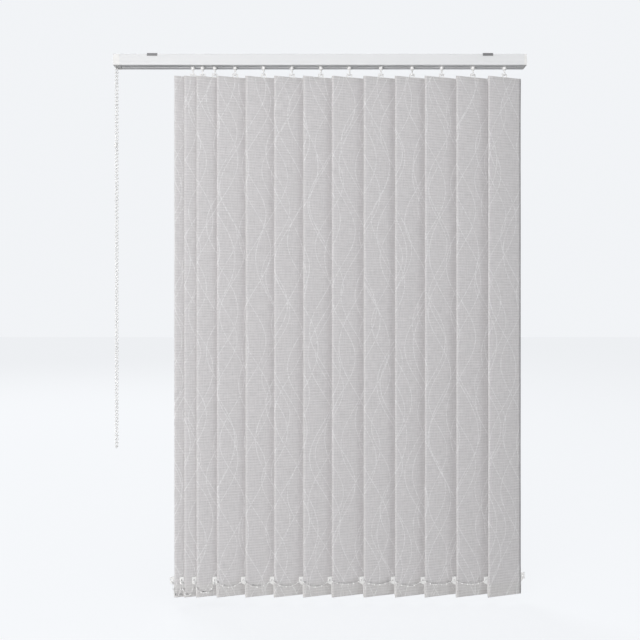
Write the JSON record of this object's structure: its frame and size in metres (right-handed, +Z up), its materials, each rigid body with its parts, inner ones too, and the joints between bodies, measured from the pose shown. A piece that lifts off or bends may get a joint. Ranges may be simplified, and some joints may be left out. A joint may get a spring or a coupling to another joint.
{
  "type": "vertical blind",
  "caption": "White fabric vertical blind with its slats turned half open, hung from a top-fixed aluminium headrail, with a bead control chain and a fine bottom chain",
  "frame": {"origin": "middle of the two bracket screw holes, on the soffit plane that the brackets are fastened to", "axes": "+X to the right along the rail as seen from the room, +Y towards the window, +Z up"},
  "size_m": [0.9761, 0.0438, 1.2815],
  "materials": {
    "rail_paint": "satin white paint",
    "white_plastic": "matte white moulding",
    "rod_metal": "plain extruded",
    "slat_fabric": "fine plain weave with thin pale wavy lines",
    "chain_plastic": "small round white beads"
  },
  "bodies": {
    "rail": {"headrail": "rail_paint", "mounting_brackets": "rail_paint", "control_housing": "white_plastic", "end_cap": "white_plastic", "control_chain": "chain_plastic", "bottom_chain": "chain_plastic", "carrier_13": "white_plastic"},
    "carrier_body_01": {"carrier_01": "white_plastic"},
    "carrier_body_02": {"carrier_02": "white_plastic"},
    "carrier_body_03": {"carrier_03": "white_plastic"},
    "carrier_body_04": {"carrier_04": "white_plastic"},
    "carrier_body_05": {"carrier_05": "white_plastic"},
    "carrier_body_06": {"carrier_06": "white_plastic"},
    "carrier_body_07": {"carrier_07": "white_plastic"},
    "carrier_body_08": {"carrier_08": "white_plastic"},
    "carrier_body_09": {"carrier_09": "white_plastic"},
    "carrier_body_10": {"carrier_10": "white_plastic"},
    "carrier_body_11": {"carrier_11": "white_plastic"},
    "carrier_body_12": {"carrier_12": "white_plastic"},
    "louvre_01": {"slat_01": "slat_fabric", "louvre_fittings_01": "white_plastic"},
    "louvre_02": {"slat_02": "slat_fabric", "louvre_fittings_02": "white_plastic"},
    "louvre_03": {"slat_03": "slat_fabric", "louvre_fittings_03": "white_plastic"},
    "louvre_04": {"slat_04": "slat_fabric", "louvre_fittings_04": "white_plastic"},
    "louvre_05": {"slat_05": "slat_fabric", "louvre_fittings_05": "white_plastic"},
    "louvre_06": {"slat_06": "slat_fabric", "louvre_fittings_06": "white_plastic"},
    "louvre_07": {"slat_07": "slat_fabric", "louvre_fittings_07": "white_plastic"},
    "louvre_08": {"slat_08": "slat_fabric", "louvre_fittings_08": "white_plastic"},
    "louvre_09": {"slat_09": "slat_fabric", "louvre_fittings_09": "white_plastic"},
    "louvre_10": {"slat_10": "slat_fabric", "louvre_fittings_10": "white_plastic"},
    "louvre_11": {"slat_11": "slat_fabric", "louvre_fittings_11": "white_plastic"},
    "louvre_12": {"slat_12": "slat_fabric", "louvre_fittings_12": "white_plastic"},
    "louvre_13": {"slat_13": "slat_fabric", "louvre_fittings_13": "white_plastic"},
    "rack_body_01": {"rack_01": "white_plastic"},
    "rack_body_02": {"rack_02": "white_plastic"},
    "rack_body_03": {"rack_03": "white_plastic"},
    "rack_body_04": {"rack_04": "white_plastic"},
    "rack_body_05": {"rack_05": "white_plastic"},
    "rack_body_06": {"rack_06": "white_plastic"},
    "rack_body_07": {"rack_07": "white_plastic"},
    "rack_body_08": {"rack_08": "white_plastic"},
    "rack_body_09": {"rack_09": "white_plastic"},
    "rack_body_10": {"rack_10": "white_plastic"},
    "rack_body_11": {"rack_11": "white_plastic"},
    "rack_body_12": {"rack_12": "white_plastic"},
    "rack_body_13": {"rack_13": "white_plastic"},
    "rod": {"tilt_rod": "rod_metal"},
    "wheel": {"chain_wheel": "white_plastic"}
  },
  "joints": [
    {"name": "carrier_12_slide", "type": "slide", "parent": "rail", "child": "carrier_body_12", "axis": [-1, 0, 0], "range_m": [-0.058, 0]},
    {"name": "carrier_11_slide", "type": "slide", "parent": "carrier_body_12", "child": "carrier_body_11", "axis": [-1, 0, 0], "range_m": [-0.0572, 0]},
    {"name": "carrier_10_slide", "type": "slide", "parent": "carrier_body_11", "child": "carrier_body_10", "axis": [-1, 0, 0], "range_m": [-0.0535, 0.0015]},
    {"name": "carrier_09_slide", "type": "slide", "parent": "carrier_body_10", "child": "carrier_body_09", "axis": [-1, 0, 0], "range_m": [-0.0572, 0]},
    {"name": "carrier_08_slide", "type": "slide", "parent": "carrier_body_09", "child": "carrier_body_08", "axis": [-1, 0, 0], "range_m": [-0.058, 0]},
    {"name": "carrier_07_slide", "type": "slide", "parent": "carrier_body_08", "child": "carrier_body_07", "axis": [-1, 0, 0], "range_m": [-0.0509, 0.0041]},
    {"name": "carrier_06_slide", "type": "slide", "parent": "carrier_body_07", "child": "carrier_body_06", "axis": [-1, 0, 0], "range_m": [-0.0518, 0.0032]},
    {"name": "carrier_05_slide", "type": "slide", "parent": "carrier_body_06", "child": "carrier_body_05", "axis": [-1, 0, 0], "range_m": [-0.0506, 0.0044]},
    {"name": "carrier_04_slide", "type": "slide", "parent": "carrier_body_05", "child": "carrier_body_04", "axis": [-1, 0, 0], "range_m": [-0.0506, 0.0044]},
    {"name": "carrier_03_slide", "type": "slide", "parent": "carrier_body_04", "child": "carrier_body_03", "axis": [-1, 0, 0], "range_m": [-0.0314, 0.0236]},
    {"name": "carrier_02_slide", "type": "slide", "parent": "carrier_body_03", "child": "carrier_body_02", "axis": [-1, 0, 0], "range_m": [-0.0122, 0.0428]},
    {"name": "carrier_01_slide", "type": "slide", "parent": "carrier_body_02", "child": "carrier_body_01", "axis": [-1, 0, 0], "range_m": [-0.006, 0.049]},
    {"name": "louvre_13_tilt", "type": "hinge", "parent": "rail", "child": "louvre_13", "pos_m": [0.4377, 0, -0.0232], "axis": [0, 0, 1], "range_deg": [-8, 148], "deforming": ["bottom_chain"]},
    {"name": "louvre_12_tilt", "type": "hinge", "parent": "carrier_body_12", "child": "louvre_12", "pos_m": [0.3629, 0, -0.0232], "axis": [0, 0, 1], "range_deg": [-8, 148]},
    {"name": "louvre_11_tilt", "type": "hinge", "parent": "carrier_body_11", "child": "louvre_11", "pos_m": [0.2889, 0, -0.0232], "axis": [0, 0, 1], "range_deg": [-8, 148]},
    {"name": "louvre_10_tilt", "type": "hinge", "parent": "carrier_body_10", "child": "louvre_10", "pos_m": [0.2186, 0, -0.0232], "axis": [0, 0, 1], "range_deg": [-8, 148]},
    {"name": "louvre_09_tilt", "type": "hinge", "parent": "carrier_body_09", "child": "louvre_09", "pos_m": [0.1446, 0, -0.0232], "axis": [0, 0, 1], "range_deg": [-8, 148]},
    {"name": "louvre_08_tilt", "type": "hinge", "parent": "carrier_body_08", "child": "louvre_08", "pos_m": [0.0698, 0, -0.0232], "axis": [0, 0, 1], "range_deg": [-8, 148]},
    {"name": "louvre_07_tilt", "type": "hinge", "parent": "carrier_body_07", "child": "louvre_07", "pos_m": [0.0021, 0, -0.0232], "axis": [0, 0, 1], "range_deg": [-8, 148]},
    {"name": "louvre_06_tilt", "type": "hinge", "parent": "carrier_body_06", "child": "louvre_06", "pos_m": [-0.0665, 0, -0.0232], "axis": [0, 0, 1], "range_deg": [-8, 148]},
    {"name": "louvre_05_tilt", "type": "hinge", "parent": "carrier_body_05", "child": "louvre_05", "pos_m": [-0.1339, 0, -0.0232], "axis": [0, 0, 1], "range_deg": [-8, 148]},
    {"name": "louvre_04_tilt", "type": "hinge", "parent": "carrier_body_04", "child": "louvre_04", "pos_m": [-0.2013, 0, -0.0232], "axis": [0, 0, 1], "range_deg": [-8, 148]},
    {"name": "louvre_03_tilt", "type": "hinge", "parent": "carrier_body_03", "child": "louvre_03", "pos_m": [-0.2495, 0, -0.0232], "axis": [0, 0, 1], "range_deg": [-8, 148]},
    {"name": "louvre_02_tilt", "type": "hinge", "parent": "carrier_body_02", "child": "louvre_02", "pos_m": [-0.2785, 0, -0.0232], "axis": [0, 0, 1], "range_deg": [-8, 148]},
    {"name": "louvre_01_tilt", "type": "hinge", "parent": "carrier_body_01", "child": "louvre_01", "pos_m": [-0.3013, 0, -0.0232], "axis": [0, 0, 1], "range_deg": [-8, 148]},
    {"name": "rack_13_slide", "type": "slide", "parent": "rail", "child": "rack_body_13", "axis": [0, 1, 0], "range_m": [-0.00066, 0.01043]},
    {"name": "rack_12_slide", "type": "slide", "parent": "carrier_body_12", "child": "rack_body_12", "axis": [0, 1, 0], "range_m": [-0.00066, 0.01043]},
    {"name": "rack_11_slide", "type": "slide", "parent": "carrier_body_11", "child": "rack_body_11", "axis": [0, 1, 0], "range_m": [-0.00066, 0.01043]},
    {"name": "rack_10_slide", "type": "slide", "parent": "carrier_body_10", "child": "rack_body_10", "axis": [0, 1, 0], "range_m": [-0.00066, 0.01043]},
    {"name": "rack_09_slide", "type": "slide", "parent": "carrier_body_09", "child": "rack_body_09", "axis": [0, 1, 0], "range_m": [-0.00066, 0.01043]},
    {"name": "rack_08_slide", "type": "slide", "parent": "carrier_body_08", "child": "rack_body_08", "axis": [0, 1, 0], "range_m": [-0.00066, 0.01043]},
    {"name": "rack_07_slide", "type": "slide", "parent": "carrier_body_07", "child": "rack_body_07", "axis": [0, 1, 0], "range_m": [-0.00066, 0.01043]},
    {"name": "rack_06_slide", "type": "slide", "parent": "carrier_body_06", "child": "rack_body_06", "axis": [0, 1, 0], "range_m": [-0.00066, 0.01043]},
    {"name": "rack_05_slide", "type": "slide", "parent": "carrier_body_05", "child": "rack_body_05", "axis": [0, 1, 0], "range_m": [-0.00066, 0.01043]},
    {"name": "rack_04_slide", "type": "slide", "parent": "carrier_body_04", "child": "rack_body_04", "axis": [0, 1, 0], "range_m": [-0.00066, 0.01043]},
    {"name": "rack_03_slide", "type": "slide", "parent": "carrier_body_03", "child": "rack_body_03", "axis": [0, 1, 0], "range_m": [-0.00066, 0.01043]},
    {"name": "rack_02_slide", "type": "slide", "parent": "carrier_body_02", "child": "rack_body_02", "axis": [0, 1, 0], "range_m": [-0.00066, 0.01043]},
    {"name": "rack_01_slide", "type": "slide", "parent": "carrier_body_01", "child": "rack_body_01", "axis": [0, 1, 0], "range_m": [-0.00066, 0.01043]},
    {"name": "rod_turn", "type": "hinge", "parent": "rail", "child": "rod", "pos_m": [0, 0, -0.0118], "axis": [1, 0, 0], "range_deg": [-9, 149]},
    {"name": "wheel_turn", "type": "hinge", "parent": "rail", "child": "wheel", "pos_m": [-0.4827, 0, -0.0158], "axis": [1, 0, 0], "range_deg": [-27, 447]}
  ],
  "couplings": [
    {"joint": "louvre_12_tilt", "follows": "louvre_13_tilt", "ratio": 1},
    {"joint": "louvre_11_tilt", "follows": "louvre_13_tilt", "ratio": 1},
    {"joint": "louvre_10_tilt", "follows": "louvre_13_tilt", "ratio": 1},
    {"joint": "louvre_09_tilt", "follows": "louvre_13_tilt", "ratio": 1},
    {"joint": "louvre_08_tilt", "follows": "louvre_13_tilt", "ratio": 1},
    {"joint": "louvre_07_tilt", "follows": "louvre_13_tilt", "ratio": 1},
    {"joint": "louvre_06_tilt", "follows": "louvre_13_tilt", "ratio": 1},
    {"joint": "louvre_05_tilt", "follows": "louvre_13_tilt", "ratio": 1},
    {"joint": "louvre_04_tilt", "follows": "louvre_13_tilt", "ratio": 1},
    {"joint": "louvre_03_tilt", "follows": "louvre_13_tilt", "ratio": 1},
    {"joint": "louvre_02_tilt", "follows": "louvre_13_tilt", "ratio": 1},
    {"joint": "louvre_01_tilt", "follows": "louvre_13_tilt", "ratio": 1},
    {"joint": "rack_13_slide", "follows": "louvre_13_tilt", "m_per_rad": 0.004},
    {"joint": "rack_12_slide", "follows": "louvre_13_tilt", "m_per_rad": 0.004},
    {"joint": "rack_11_slide", "follows": "louvre_13_tilt", "m_per_rad": 0.004},
    {"joint": "rack_10_slide", "follows": "louvre_13_tilt", "m_per_rad": 0.004},
    {"joint": "rack_09_slide", "follows": "louvre_13_tilt", "m_per_rad": 0.004},
    {"joint": "rack_08_slide", "follows": "louvre_13_tilt", "m_per_rad": 0.004},
    {"joint": "rack_07_slide", "follows": "louvre_13_tilt", "m_per_rad": 0.004},
    {"joint": "rack_06_slide", "follows": "louvre_13_tilt", "m_per_rad": 0.004},
    {"joint": "rack_05_slide", "follows": "louvre_13_tilt", "m_per_rad": 0.004},
    {"joint": "rack_04_slide", "follows": "louvre_13_tilt", "m_per_rad": 0.004},
    {"joint": "rack_03_slide", "follows": "louvre_13_tilt", "m_per_rad": 0.004},
    {"joint": "rack_02_slide", "follows": "louvre_13_tilt", "m_per_rad": 0.004},
    {"joint": "rack_01_slide", "follows": "louvre_13_tilt", "m_per_rad": 0.004},
    {"joint": "rod_turn", "follows": "louvre_13_tilt", "ratio": 1},
    {"joint": "wheel_turn", "follows": "louvre_13_tilt", "ratio": 3}
  ]
}
